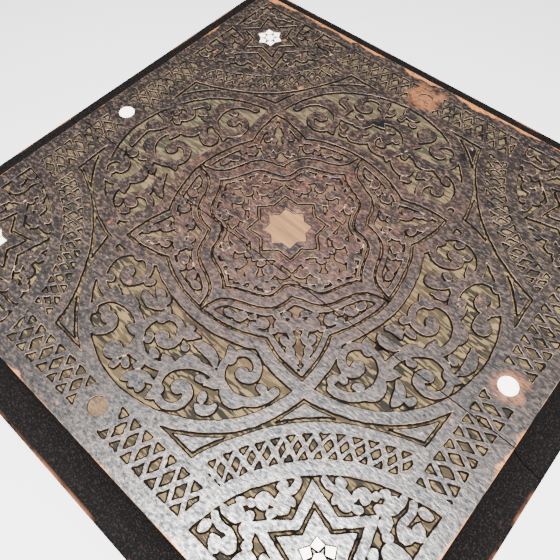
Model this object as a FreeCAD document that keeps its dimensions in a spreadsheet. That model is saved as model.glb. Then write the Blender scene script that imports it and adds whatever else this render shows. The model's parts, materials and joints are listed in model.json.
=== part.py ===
import FreeCAD, Part
import os
from math import atan2, sqrt

import Sketcher
from FreeCAD import Placement, Rotation, Vector

# A low square stand for reading the Quran while seated on the floor.
# The carved top is two planks joined edge to edge, with a cove worked round its four sides.
# It rests on a frame of four turned legs, aprons, stretchers and small arch brackets.
# Frame: origin on the floor under the middle of the top, +Z up, the grain of the top along X.

doc = FreeCAD.newDocument("quran_stand")

DIMENSIONS = [
    # the top
    ("top_side", 448),            # over the cove, both ways
    ("field_side", 400),          # flat carved square inside the cove
    ("top_thick", 20),
    ("stand_height", 360),
    ("cove_drop", 13.4),          # from the carved face down to the outer edge
    ("arris_drop", 2.4),          # upright step just under the arris
    ("plank_joint", 30.8),        # the joint between the planks lies this far towards -Y
    ("dowel_radius", 4),
    ("dowel_length", 48),
    ("dowel_gap", 140),
    # inlays
    ("inlay_thick", 1.6),
    ("recess_depth", 1.8),
    ("disc_radius", 6.5),
    ("disc_offset", 178.8),
    ("flower_offset", 153),
    ("flower_eye", 4),
    ("petal_start", 4.3),
    ("petal_waist", 7.2),
    ("petal_half", 3.9),
    ("petal_tip", 11.6),
    ("star_radius", 17.8),
    # legs
    ("leg_side", 36),
    ("leg_offset", 176),          # leg centre from the middle, along X and along Y
    ("cap_block", 84),            # height of the square block that takes the aprons
    ("low_block_base", 46),
    ("low_block", 48),
    ("turned_neck", 8.5),         # radii of the turned parts
    ("turned_collar", 14),
    ("foot_round", 20.5),
    ("bobbin_round", 12),
    ("bobbin_tall", 22),
    ("shaft_round", 170),
    # aprons, stretchers and brackets
    ("rail_offset", 180),
    ("rail_thick", 18),
    ("apron_height", 58),
    ("stretcher_height", 24),
    ("stretcher_centre", 70),
    ("tenon_long", 16),
    ("tenon_thick", 8),
    ("tenon_shoulder", 7),
    ("bracket_thick", 12),
    ("bracket_drop", 74),         # height of an arch bracket against its leg
    ("bracket_edge", 8),          # its thickness at the leg and at the arch's point
    ("haunch_in", 46),            # where the arch's two curves meet, from the leg
    ("haunch_down", 24),          # and below the apron
    ("haunch_round", 44),
    ("keel_round", 330),
    ("peg_radius", 3),
    ("peg_length", 26),
    # under the top
    ("batten_offset", 100),
    ("batten_wide", 40),
    ("batten_thick", 16),
    ("batten_gap", 2),            # clearance between a batten's ends and the aprons
    ("screw_near", 70),           # along Y, from the middle
    ("screw_far", 135),
    ("screw_radius", 2),
    ("screw_head", 4),
    ("screw_long", 28),
    ("block_side", 18),
    ("block_long", 50),
    ("block_offset", 45),
]


def driving_sheet():
    """The spreadsheet that every sub-part reads."""
    sheet = doc.addObject("Spreadsheet::Sheet", "size")
    for row, (alias, amount) in enumerate(DIMENSIONS, start=1):
        sheet.set(f"A{row}", alias)
        sheet.set(f"B{row}", str(amount))
        sheet.setAlias(f"B{row}", alias)
    doc.recompute()
    return sheet


SHEET = driving_sheet()

# Heights and places that several sub-parts share, as expressions on the sheet.
UNDERSIDE = "(size.stand_height - size.top_thick)"
INNER_FACE = "(size.leg_offset - size.leg_side / 2)"
OUTER_FACE = "(size.leg_offset + size.leg_side / 2)"
APRON_CENTRE = f"({UNDERSIDE} - size.apron_height / 2)"
RAIL_INNER = "(size.rail_offset - size.rail_thick / 2)"
PEG_ALONG = f"({INNER_FACE} + size.tenon_long / 2)"


def number(expression):
    """The present value of an expression on the sheet."""
    return float(SHEET.evalExpression(expression))


def bind(thing, **expressions):
    """Drive properties by expressions; a double underscore stands for a dot."""
    for name, expression in expressions.items():
        thing.setExpression(name.replace("__", "."), expression)


def place(thing, x="0", y="0", z="0", turn=0):
    """Bind a placement's base and turn it about Z by a whole number of degrees."""
    thing.Placement = Placement(Vector(0, 0, 0), Rotation(Vector(0, 0, 1), turn))
    bind(thing, Placement__Base__x=x, Placement__Base__y=y, Placement__Base__z=z)


def new_body(label):
    body = doc.addObject("PartDesign::Body", label)
    body.Label = label
    return body


def new_sketch(body, name, plane, lift="0"):
    """An empty sketch on one of the body's own planes, moved along its normal by lift."""
    sketch = body.newObject("Sketcher::SketchObject", name)
    support = next(item for item in body.Origin.OriginFeatures if item.Role == plane)
    sketch.AttachmentSupport = [(support, "")]
    sketch.MapMode = "FlatFace"
    bind(sketch, AttachmentOffset__Base__z=lift)
    return sketch


def fix(sketch, kind, targets, expression):
    """Add a dimension driven by the sheet."""
    index = sketch.addConstraint(Sketcher.Constraint(kind, *targets, number(expression)))
    name = f"driven_{index}"
    sketch.renameConstraint(index, name)
    sketch.setExpression(f"Constraints.{name}", expression)


def add_arc(sketch, start, finish, radius, left):
    """An arc from start to finish with its centre on the left or right; returns its end numbers."""
    chord = finish - start
    half = chord.Length / 2
    rise = sqrt(max(radius * radius - half * half, 0.0))
    normal = Vector(-chord.y, chord.x, 0).normalize()
    centre = start + chord * 0.5 + normal * (rise if left else -rise)
    first = atan2(start.y - centre.y, start.x - centre.x)
    last = atan2(finish.y - centre.y, finish.x - centre.x)
    circle = Part.Circle(centre, Vector(0, 0, 1), radius)
    if left:
        sketch.addGeometry(Part.ArcOfCircle(circle, first, last), False)
        return 1, 2
    sketch.addGeometry(Part.ArcOfCircle(circle, last, first), False)
    return 2, 1


def outline(sketch, corners, arcs=None):
    """A closed outline through corners given as pairs of expressions.

    arcs maps a side's number to (radius expression, True where the centre is on the left).
    """
    arcs = arcs or {}
    base = sketch.GeometryCount
    points = [Vector(number(x), number(y), 0) for x, y in corners]
    count = len(points)
    ends = []
    for side, start in enumerate(points):
        finish = points[(side + 1) % count]
        if side in arcs:
            radius, left = arcs[side]
            ends.append(add_arc(sketch, start, finish, number(radius), left))
        else:
            sketch.addGeometry(Part.LineSegment(start, finish), False)
            ends.append((1, 2))
    for side, (x, y) in enumerate(corners):
        before = (side - 1) % count
        first = ends[side][0]
        joined = (base + before, ends[before][1], base + side, first)
        sketch.addConstraint(Sketcher.Constraint("Coincident", *joined))
        fix(sketch, "DistanceX", (-1, 1, base + side, first), x)
        fix(sketch, "DistanceY", (-1, 1, base + side, first), y)
    for side, (radius, _) in arcs.items():
        fix(sketch, "Radius", (base + side,), radius)


def rectangle(sketch, x_low, y_low, x_high, y_high):
    outline(sketch, [(x_low, y_low), (x_high, y_low), (x_high, y_high), (x_low, y_high)])


def circle(sketch, x, y, radius):
    index = sketch.GeometryCount
    centre = Vector(number(x), number(y), 0)
    sketch.addGeometry(Part.Circle(centre, Vector(0, 0, 1), number(radius)), False)
    fix(sketch, "Radius", (index,), radius)
    fix(sketch, "DistanceX", (-1, 1, index, 3), x)
    fix(sketch, "DistanceY", (-1, 1, index, 3), y)


def pad(body, sketch, length, symmetric=False):
    feature = body.newObject("PartDesign::Pad", sketch.Name + "_pad")
    feature.Profile = sketch
    feature.SideType = "Symmetric" if symmetric else "One side"
    bind(feature, Length=length)
    doc.recompute()
    return feature


def pocket(body, sketch, length, symmetric=False, reverse=False):
    """Cut a pocket and make sure that it took wood away."""
    before = body.Shape.Volume
    feature = body.newObject("PartDesign::Pocket", sketch.Name + "_pocket")
    feature.Profile = sketch
    feature.SideType = "Symmetric" if symmetric else "One side"
    feature.Reversed = reverse
    bind(feature, Length=length)
    doc.recompute()
    if not body.Shape.Volume < before:
        raise RuntimeError(f"{feature.Name} cuts nothing")
    return feature


def union(label, members):
    """Separate identical pieces kept together as one sub-part."""
    group = doc.addObject("Part::Compound", label)
    group.Label = label
    group.Links = members
    return group


# ---------------------------------------------------------------- the top

def cove_corners(side):
    """The waste beyond one edge: side is 1 or -1, and over keeps the cut clear above the face."""
    edge = f"{side} * size.field_side / 2"
    outer = f"{side} * (size.top_side / 2)"
    over = f"{side} * (size.top_side / 2 + 5)"
    top = "size.stand_height"
    return [
        (edge, f"{top} + 5"),
        (edge, f"{top} - size.arris_drop"),
        (outer, f"{top} - size.cove_drop"),
        (over, f"{top} - size.cove_drop"),
        (over, f"{top} + 5"),
    ]


# The cove's arc leaves the outer edge level, so its radius follows from its width and its drop.
COVE_WIDTH = "(size.top_side - size.field_side) / 2"
COVE_RISE = "(size.cove_drop - size.arris_drop)"
COVE_RADIUS = f"(({COVE_WIDTH})^2 + {COVE_RISE}^2) / (2 * {COVE_RISE})"


def cut_cove(body, name, plane, sides):
    """Run the cove along the edges whose profiles lie in the given plane."""
    for side in sides:
        sketch = new_sketch(body, f"{name}_{'high' if side > 0 else 'low'}", plane)
        outline(sketch, cove_corners(side), {1: (COVE_RADIUS, side > 0)})
        pocket(body, sketch, "size.top_side * 2", symmetric=True)


def star_corners(radius):
    """An eight-pointed star made of two crossed squares."""
    corners = []
    for step in range(16):
        reach = radius if step % 2 == 0 else f"{radius} * cos(45 deg) / cos(22.5 deg)"
        angle = f"{22.5 * step} deg"
        corners.append((f"{reach} * cos({angle})", f"{reach} * sin({angle})"))
    return corners


def flower_outlines(sketch, x, y, lean):
    """A six-sided eye and six kite-shaped petals about the point (x, y), the first turned by lean degrees."""
    eye = []
    for step in range(6):
        angle = f"{60 * step + 30 + lean} deg"
        eye.append((f"{x} + size.flower_eye * cos({angle})", f"{y} + size.flower_eye * sin({angle})"))
    outline(sketch, eye)
    for step in range(6):
        turn = f"{60 * step + lean} deg"
        kite = [("size.petal_start", "0"), ("size.petal_waist", "size.petal_half"),
                ("size.petal_tip", "0"), ("size.petal_waist", "-size.petal_half")]
        petal = []
        for out, across in kite:
            petal.append((f"{x} + {out} * cos({turn}) - ({across}) * sin({turn})",
                          f"{y} + {out} * sin({turn}) + ({across}) * cos({turn})"))
        outline(sketch, petal)


def recess(body, name, draw):
    """Sink a recess into the carved face; draw puts its outline in the sketch."""
    sketch = new_sketch(body, name, "XY_Plane", "size.stand_height")
    draw(sketch)
    pocket(body, sketch, "size.recess_depth")


def screw_places(side):
    """Screws through the battens into one plank; side is 1 for +Y and -1 for -Y."""
    for x in (-1, 1):
        for reach in ("size.screw_near", "size.screw_far"):
            yield f"{x} * size.batten_offset", f"{side} * {reach}"


def plank(label, side, y_low, y_high):
    """One plank of the top: side is 1 for the wide plank at +Y and -1 for the narrow one."""
    body = new_body(label)
    blank = new_sketch(body, label + "_blank", "XY_Plane", UNDERSIDE)
    rectangle(blank, "-size.top_side / 2", y_low, "size.top_side / 2", y_high)
    pad(body, blank, "size.top_thick")
    cut_cove(body, label + "_end_cove", "XZ_Plane", (-1, 1))
    cut_cove(body, label + "_side_cove", "YZ_Plane", (side,))

    holes = new_sketch(body, label + "_dowel_holes", "XZ_Plane", "size.plank_joint")
    for step in (-1, 0, 1):
        circle(holes, f"{step} * size.dowel_gap", f"{UNDERSIDE} + size.top_thick / 2", "size.dowel_radius")
    pocket(body, holes, "size.dowel_length / 2", reverse=side < 0)

    pilots = new_sketch(body, label + "_pilots", "XY_Plane", UNDERSIDE)
    for x, y in screw_places(side):
        circle(pilots, x, y, "size.screw_radius")
    pocket(body, pilots, "size.screw_long - size.batten_thick", reverse=True)

    for hand, name in ((-1, "left"), (1, "right")):
        x = f"{hand} * size.flower_offset"
        y = f"{side} * size.flower_offset"
        lean = 30 + 15 * hand * side
        recess(body, f"{label}_{name}_flower", lambda sketch: flower_outlines(sketch, x, y, lean))
    return body


def carved_top():
    """The two planks, the dowels between them and the recesses for the inlays."""
    wide = plank("top_plank_wide", 1, "-size.plank_joint", "size.top_side / 2")
    narrow = plank("top_plank_narrow", -1, "-size.top_side / 2", "-size.plank_joint")
    for x, y, name in (("-1", "0", "left"), ("1", "0", "right"), ("0", "1", "back")):
        recess(wide, f"{name}_disc_recess", lambda sketch: circle(
            sketch, f"{x} * size.disc_offset", f"{y} * size.disc_offset", "size.disc_radius"))
    recess(narrow, "front_disc_recess", lambda sketch: circle(
        sketch, "0", "-size.disc_offset", "size.disc_radius"))
    recess(wide, "star_recess", lambda sketch: outline(sketch, star_corners("size.star_radius")))

    dowels = []
    for step in (-1, 0, 1):
        dowel = doc.addObject("Part::Cylinder", f"dowel_{step + 2}")
        dowel.Placement = Placement(Vector(0, 0, 0), Rotation(Vector(1, 0, 0), 90))
        bind(dowel, Radius="size.dowel_radius", Height="size.dowel_length",
             Placement__Base__x=f"{step} * size.dowel_gap",
             Placement__Base__y="-size.plank_joint + size.dowel_length / 2",
             Placement__Base__z=f"{UNDERSIDE} + size.top_thick / 2")
        dowels.append(dowel)
    return [wide, narrow, union("plank_dowels", dowels)]


def inlays():
    """The inlay pieces that are still in place: two discs and four flowers of seven pieces."""
    pieces = []
    floor = "size.stand_height - size.recess_depth"
    for hand, name in ((-1, "disc_inlay_left"), (1, "disc_inlay_right")):
        disc = doc.addObject("Part::Cylinder", name)
        disc.Label = name
        bind(disc, Radius="size.disc_radius", Height="size.inlay_thick")
        place(disc, f"{hand} * size.disc_offset", "0", floor)
        pieces.append(disc)
    for x, side in ((-1, "left"), (1, "right")):
        for y, end in ((-1, "front"), (1, "back")):
            sketch = doc.addObject("Sketcher::SketchObject", f"flower_outline_{end}_{side}")
            flower_outlines(sketch, "0", "0", 30 + 15 * x * y)
            flower = doc.addObject("Part::Extrusion", f"flower_inlay_{end}_{side}")
            flower.Label = flower.Name
            flower.Base = sketch
            flower.DirMode = "Custom"
            flower.Dir = Vector(0, 0, 1)
            flower.Solid = True
            bind(flower, LengthFwd="size.inlay_thick")
            place(flower, f"{x} * size.flower_offset", f"{y} * size.flower_offset", floor)
            pieces.append(flower)
    return pieces


# ---------------------------------------------------------------- the frame

def turned_profile(body, label):
    """Half of the leg's turned shape: a ball foot, then a swelling shaft between two bobbins."""
    sketch = new_sketch(body, label + "_turning", "XZ_Plane")
    low = "size.low_block_base"
    high = "(size.low_block_base + size.low_block)"
    neck = f"({UNDERSIDE} - size.cap_block)"
    slim = "size.turned_neck"
    wide = "size.turned_collar"
    corners = [
        ("0", "0"),
        (slim, "0"),
        (slim, f"{low} - 8"),
        (wide, f"{low} - 4"),
        (wide, f"{high} + 6"),
        (slim, f"{high} + 12"),
        (slim, f"{high} + 12 + size.bobbin_tall"),
        (slim, f"{high} + 17 + size.bobbin_tall"),
        (slim, f"{neck} - 17 - size.bobbin_tall"),
        (slim, f"{neck} - 12 - size.bobbin_tall"),
        (slim, f"{neck} - 12"),
        (wide, f"{neck} - 6"),
        (wide, f"{neck} + 4"),
        ("0", f"{neck} + 4"),
    ]
    arcs = {
        1: ("size.foot_round", True),
        5: ("size.bobbin_round", True),
        7: ("size.shaft_round", True),
        9: ("size.bobbin_round", True),
    }
    outline(sketch, corners, arcs)
    return sketch


def leg(label, turn):
    """A leg at the corner (+X, +Y), then turned about the stand's middle into its own corner."""
    body = new_body(label)
    turning = turned_profile(body, label)
    shaft = body.newObject("PartDesign::Revolution", label + "_shaft")
    shaft.Profile = turning
    shaft.ReferenceAxis = (turning, ["V_Axis"])
    shaft.Angle = 360
    doc.recompute()

    half = "size.leg_side / 2"
    for name, low, tall in (("cap", f"{UNDERSIDE} - size.cap_block", "size.cap_block"),
                            ("low", "size.low_block_base", "size.low_block")):
        block = new_sketch(body, f"{label}_{name}_block", "XY_Plane", low)
        rectangle(block, f"-{half}", f"-{half}", half, half)
        pad(body, block, tall)

    # Mortises for the two rails that meet here, one set along X and one set along Y.
    near = "size.rail_offset - size.leg_offset"
    for name, centre, height in (("apron", APRON_CENTRE, "size.apron_height"),
                                 ("stretcher", "size.stretcher_centre", "size.stretcher_height")):
        tall = f"({height} / 2 - size.tenon_shoulder)"
        if name == "stretcher":
            tall = f"({height} / 2 - size.tenon_shoulder / 2)"
        for axis, plane in (("x", "XZ_Plane"), ("y", "YZ_Plane")):
            lift = f"-({near})" if axis == "x" else near
            mortise = new_sketch(body, f"{label}_{name}_mortise_{axis}", plane, lift)
            rectangle(mortise, f"-{half}", f"{centre} - {tall}",
                      f"-{half} + size.tenon_long", f"{centre} + {tall}")
            pocket(body, mortise, "size.tenon_thick", symmetric=True)
            bore = new_sketch(body, f"{label}_{name}_peg_hole_{axis}", plane,
                              f"-({half})" if axis == "x" else half)
            circle(bore, f"-{half} + size.tenon_long / 2", centre, "size.peg_radius")
            pocket(body, bore, "size.peg_length", reverse=axis == "x")
    corner = Rotation(Vector(0, 0, 1), turn).multVec(Vector(1, 1, 0))
    place(body, f"{round(corner.x)} * size.leg_offset", f"{round(corner.y)} * size.leg_offset", "0", turn)
    return body


def rail(label, turn, centre, height, shoulder):
    """An apron or stretcher with a tenon and peg holes at both ends; it is drawn at the +Y side."""
    body = new_body(label)
    lift = "-size.rail_offset"
    board = new_sketch(body, label + "_board", "XZ_Plane", lift)
    rectangle(board, f"-{INNER_FACE}", f"{centre} - {height} / 2", INNER_FACE, f"{centre} + {height} / 2")
    pad(body, board, "size.rail_thick", symmetric=True)
    tenon = new_sketch(body, label + "_tenon", "XZ_Plane", lift)
    reach = f"({INNER_FACE} + size.tenon_long)"
    rectangle(tenon, f"-{reach}", f"{centre} - {height} / 2 + {shoulder}",
              reach, f"{centre} + {height} / 2 - {shoulder}")
    pad(body, tenon, "size.tenon_thick", symmetric=True)
    holes = new_sketch(body, label + "_peg_holes", "XZ_Plane", lift)
    for side in (-1, 1):
        circle(holes, f"{side} * {PEG_ALONG}", centre, "size.peg_radius")
    pocket(body, holes, "size.rail_thick * 2", symmetric=True)
    place(body, turn=turn)
    return body


def bracket(label, turn, side):
    """Half of a keel arch under an apron, against the leg at the side given by 1 or -1."""
    body = new_body(label)
    sketch = new_sketch(body, label + "_face", "XZ_Plane", "-size.rail_offset")
    top = f"({UNDERSIDE} - size.apron_height)"
    wall = f"{side} * {INNER_FACE}"
    corners = [
        (wall, top),
        (wall, f"{top} - size.bracket_drop"),
        (f"{side} * ({INNER_FACE} - size.bracket_edge)", f"{top} - size.bracket_drop"),
        (f"{side} * ({INNER_FACE} - size.haunch_in)", f"{top} - size.haunch_down"),
        ("0", f"{top} - size.bracket_edge"),
        ("0", top),
    ]
    arcs = {
        2: ("size.haunch_round", side > 0),
        3: ("size.keel_round", side < 0),
    }
    outline(sketch, corners, arcs)
    pad(body, sketch, "size.bracket_thick", symmetric=True)
    place(body, turn=turn)
    return body


def rail_pegs(label, centre):
    """The eight pegs that pin one ring of rails into the legs."""
    pegs = []
    for step in range(4):
        turn = 90 * step
        spin = Rotation(Vector(0, 0, 1), turn)
        for side in (-1, 1):
            peg = doc.addObject("Part::Cylinder", f"{label}_{turn}_{'low' if side < 0 else 'high'}")
            peg.Placement = Placement(Vector(0, 0, 0), spin * Rotation(Vector(1, 0, 0), 90))
            along = spin.multVec(Vector(side, 0, 0))
            out = spin.multVec(Vector(0, 1, 0))
            bind(peg, Radius="size.peg_radius", Height="size.peg_length",
                 Placement__Base__x=f"{round(along.x)} * {PEG_ALONG} + {round(out.x)} * {OUTER_FACE}",
                 Placement__Base__y=f"{round(along.y)} * {PEG_ALONG} + {round(out.y)} * {OUTER_FACE}",
                 Placement__Base__z=centre)
            pegs.append(peg)
    return union(label, pegs)


def frame_parts():
    """Legs, aprons, stretchers, brackets and pegs, each drawn once and turned into its place."""
    sides = (("back", 0), ("left", 90), ("front", 180), ("right", 270))
    corners = (("back_right", 0), ("back_left", 90), ("front_left", 180), ("front_right", 270))
    parts = [leg(f"leg_{name}", turn) for name, turn in corners]
    for name, turn in sides:
        parts.append(rail(f"apron_{name}", turn, APRON_CENTRE, "size.apron_height", "size.tenon_shoulder"))
        parts.append(rail(f"stretcher_{name}", turn, "size.stretcher_centre",
                          "size.stretcher_height", "size.tenon_shoulder / 2"))
        for side, end in ((-1, "low"), (1, "high")):
            parts.append(bracket(f"bracket_{name}_{end}", turn, side))
    parts.append(rail_pegs("apron_pegs", APRON_CENTRE))
    parts.append(rail_pegs("stretcher_pegs", "size.stretcher_centre"))
    return parts


# ---------------------------------------------------------------- under the top

def batten(label, side):
    """A batten screwed across both planks, seen only from below."""
    body = new_body(label)
    blank = new_sketch(body, label + "_blank", "XY_Plane", f"{UNDERSIDE} - size.batten_thick")
    reach = f"({RAIL_INNER} - size.batten_gap)"
    centre = f"{side} * size.batten_offset"
    rectangle(blank, f"{centre} - size.batten_wide / 2", f"-{reach}",
              f"{centre} + size.batten_wide / 2", reach)
    pad(body, blank, "size.batten_thick")
    for name, radius, depth in (("shank", "size.screw_radius", "size.batten_thick"),
                                ("head", "size.screw_head", "size.screw_head - size.screw_radius")):
        holes = new_sketch(body, f"{label}_{name}_holes", "XY_Plane", f"{UNDERSIDE} - size.batten_thick")
        for end in (-1, 1):
            for x, y in screw_places(end):
                if x.startswith(f"{side} "):
                    circle(holes, x, y, radius)
        pocket(body, holes, depth, reverse=True)
    return body


def batten_screws():
    """Eight screws, each a straight shank with a flat head let into the batten."""
    screws = []
    for end in (-1, 1):
        for x, y in screw_places(end):
            shank = doc.addObject("Part::Cylinder", "screw_shank")
            bind(shank, Radius="size.screw_radius", Height="size.screw_long")
            head = doc.addObject("Part::Cylinder", "screw_head")
            bind(head, Radius="size.screw_head", Height="size.screw_head - size.screw_radius")
            screw = doc.addObject("Part::MultiFuse", "screw")
            screw.Shapes = [shank, head]
            place(screw, x, y, f"{UNDERSIDE} - size.batten_thick")
            screws.append(screw)
    return union("batten_screws", screws)


def glue_block(label, turn, side):
    """A three-sided block in the angle between an apron and the top; it is drawn at the +Y side."""
    body = new_body(label)
    sketch = new_sketch(body, label + "_end", "YZ_Plane", f"{side} * size.block_offset")
    outline(sketch, [(RAIL_INNER, UNDERSIDE), (f"{RAIL_INNER} - size.block_side", UNDERSIDE),
                     (RAIL_INNER, f"{UNDERSIDE} - size.block_side")])
    pad(body, sketch, "size.block_long", symmetric=True)
    place(body, turn=turn)
    return body


def under_top():
    """Battens, their screws and the glue blocks."""
    parts = [batten("batten_left", -1), batten("batten_right", 1), batten_screws()]
    for name, turn in (("back", 0), ("left", 90), ("front", 180), ("right", 270)):
        for side, end in ((-1, "low"), (1, "high")):
            parts.append(glue_block(f"glue_block_{name}_{end}", turn, side))
    return parts


def check(parts):
    """Stop if any object failed to rebuild or any sub-part has no sound shape."""
    doc.recompute()
    for thing in doc.Objects:
        if "Invalid" in thing.State or "Error" in thing.State:
            raise RuntimeError(f"{thing.Label} did not rebuild: {thing.State}")
    for piece in parts:
        if piece.Shape.isNull() or not piece.Shape.isValid():
            raise RuntimeError(f"{piece.Label} has no valid shape")


def main():
    parts = carved_top() + inlays() + frame_parts() + under_top()
    check(parts)
    os.makedirs("parts", exist_ok=True)
    for piece in parts:
        piece.Shape.exportStep(f"parts/{piece.Label}.step")
        box = piece.Shape.BoundBox
        print(f"{piece.Label:26s} {len(piece.Shape.Solids)} solids  "
              f"x {box.XMin:.1f} {box.XMax:.1f}  y {box.YMin:.1f} {box.YMax:.1f}  "
              f"z {box.ZMin:.1f} {box.ZMax:.1f}")


main()
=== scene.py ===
"""Looks of the low square Quran stand: a relief-carved two-plank top on a turned frame."""
import json
import math
import random

import bpy
import numpy as np
from mathutils import Matrix, Vector
from mathutils.geometry import delaunay_2d_cdt


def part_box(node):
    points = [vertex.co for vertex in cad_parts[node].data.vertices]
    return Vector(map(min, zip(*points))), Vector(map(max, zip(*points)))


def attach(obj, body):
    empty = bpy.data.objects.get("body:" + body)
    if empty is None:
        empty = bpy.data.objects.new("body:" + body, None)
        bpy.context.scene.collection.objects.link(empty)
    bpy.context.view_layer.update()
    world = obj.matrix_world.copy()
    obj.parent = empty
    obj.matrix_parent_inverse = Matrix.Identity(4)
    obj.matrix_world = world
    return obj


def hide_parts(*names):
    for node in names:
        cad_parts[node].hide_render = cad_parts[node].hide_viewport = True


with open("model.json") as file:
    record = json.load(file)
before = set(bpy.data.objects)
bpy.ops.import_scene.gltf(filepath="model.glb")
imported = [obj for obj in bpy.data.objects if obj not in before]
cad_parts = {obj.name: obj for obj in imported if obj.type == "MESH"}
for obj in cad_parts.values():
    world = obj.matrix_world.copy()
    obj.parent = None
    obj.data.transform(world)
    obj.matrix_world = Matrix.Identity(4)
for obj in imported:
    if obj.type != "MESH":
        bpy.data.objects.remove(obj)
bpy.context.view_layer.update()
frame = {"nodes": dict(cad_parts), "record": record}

# ------------------------------------------------------------------ sizes, from the frame

TOP_LOW, TOP_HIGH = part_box("top_plank_wide")
FACE = TOP_HIGH.z                                  # height of the carved face
UNDER = TOP_LOW.z
OUTER = TOP_HIGH.x                                 # half the side over the cove
JOINT = TOP_LOW.y                                  # the planks meet here
DISC_LOW, DISC_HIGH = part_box("disc_inlay_right")
DISC_AT = 0.894                                    # the edge discs' distance from the middle
HALF = (DISC_LOW.x + DISC_HIGH.x) / 2 / DISC_AT    # half the carved square: the unit of the layout
DISC_R = (DISC_HIGH.x - DISC_LOW.x) / 2 / HALF
FLOWER_LOW, FLOWER_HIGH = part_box("flower_inlay_back_right")
FLOWER_AT = (FLOWER_LOW.x + FLOWER_HIGH.x) / 2 / HALF
COVE_DROP = 0.067 * HALF
ARRIS_DROP = 0.012 * HALF
RELIEF = 0.0015                                    # depth of the ground in metres
LATTICE_RELIEF = 0.0009                            # and in the lattices

# the layout of the carving, in units of HALF
MARGIN = 0.952                                     # the plain margin starts here
SIDE_BAND_AT, SIDE_BAND_HALF = 0.895, 0.052        # lattice along a side: its middle and half width
INNER_SIDE = 0.808                                 # the side bands end here
ARC_R, ARC_HALF, ARC_PITCH_R = 0.629, 0.037, 0.628  # lattice round a corner, and where its pitch is true
MEDALLION_R = 0.548                                # field of the corner stars
LOBE_AT, LOBE_OUT, LOBE_IN = 0.39, 0.457, 0.417    # the four lobes: centres, strap outside and inside
MIDDLE_OUT, MIDDLE_IN = 0.490, 0.453               # the circle round the middle
STAR_R = 0.089                                     # recess of the lost star
NAIL_X, NAIL_Y, NAIL_R = 0.382, -0.394, 0.0055     # a nail hole, front right of the middle

# ------------------------------------------------------------------ the relief as a field

STEP = 0.0025                                      # between points of the grid
GRID = 801                                         # points along each side of the grid
AXIS = np.linspace(-1.0, 1.0, GRID)
X0, Y0 = np.meshgrid(AXIS, AXIS)
QUARTERS = ((1, 0), (0, 1), (-1, 0), (0, -1))
CORNERS = ((1, 1), (-1, 1), (-1, -1), (1, -1))
OCTAGRAM = math.cos(math.radians(45)) / math.cos(math.radians(22.5))  # inner to outer radius of a star
hand = random.Random(11)                           # the free choices of the carver's hand


def waves(seed, size, amount, terms=7):
    """Smooth wobble of a hand-drawn line: a few sine waves of about the given size."""
    rng = random.Random(seed)
    total = np.zeros_like(X0)
    for _ in range(terms):
        turn = rng.uniform(0, 2 * math.pi)
        k = 2 * math.pi / (size * rng.uniform(0.6, 1.6))
        total += np.sin(k * (X0 * math.cos(turn) + Y0 * math.sin(turn)) + rng.uniform(0, 6.28))
    return total * amount / math.sqrt(terms)


# X0 and Y0 are exact; X and Y wander as lines drawn by hand do
X = X0 + waves(1, 0.35, 0.0022) + waves(2, 0.06, 0.0007)
Y = Y0 + waves(3, 0.35, 0.0022) + waves(4, 0.06, 0.0007)
SQUARE = np.maximum(np.abs(X), np.abs(Y))
CORNER = np.hypot(1 - np.abs(X), 1 - np.abs(Y))


def window(x0, y0, x1, y1):
    """Rows and columns of the grid that cover a rectangle."""
    def low(v):
        return max(0, int((v + 1) / STEP) - 1)

    def high(v):
        return min(GRID, int((v + 1) / STEP) + 3)
    return slice(low(y0), high(y1)), slice(low(x0), high(x1))


def polygon(points, xs, ys):
    """Distance to a closed outline, positive inside."""
    best = np.full(xs.shape, 9.0)
    inside = np.zeros(xs.shape, bool)
    for (x0, y0), (x1, y1) in zip(points, points[1:] + points[:1]):
        dx, dy = x1 - x0, y1 - y0
        u = np.clip(((xs - x0) * dx + (ys - y0) * dy) / (dx * dx + dy * dy), 0, 1)
        best = np.minimum(best, np.hypot(xs - x0 - u * dx, ys - y0 - u * dy))
        if y1 != y0:
            inside ^= ((y0 > ys) != (y1 > ys)) & (xs < dx * (ys - y0) / dy + x0)
    return np.where(inside, best, -best)


def star_points(count, radius, inner, turn=0.0, x=0.0, y=0.0):
    """Outline of a star round x, y, with its first point turned by some degrees."""
    points = []
    for k in range(2 * count):
        reach = radius if k % 2 == 0 else inner
        angle = math.radians(turn + 180.0 * k / count)
        points.append((x + reach * math.cos(angle), y + reach * math.sin(angle)))
    return points


def between(field, low, high):
    """Positive where a field lies between two values."""
    return np.minimum(field - low, high - field)


def lattice(along, across, pitch, half_height, strap):
    """Two families of crossing straps, positive on the straps."""
    slope = pitch / 2 / half_height
    straps = []
    for sign in (-1, 1):
        v = (along + sign * slope * across) / pitch + 0.5
        straps.append(strap - np.abs(v - np.round(v)) * pitch / math.hypot(1, slope))
    return np.maximum(*straps)


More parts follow.
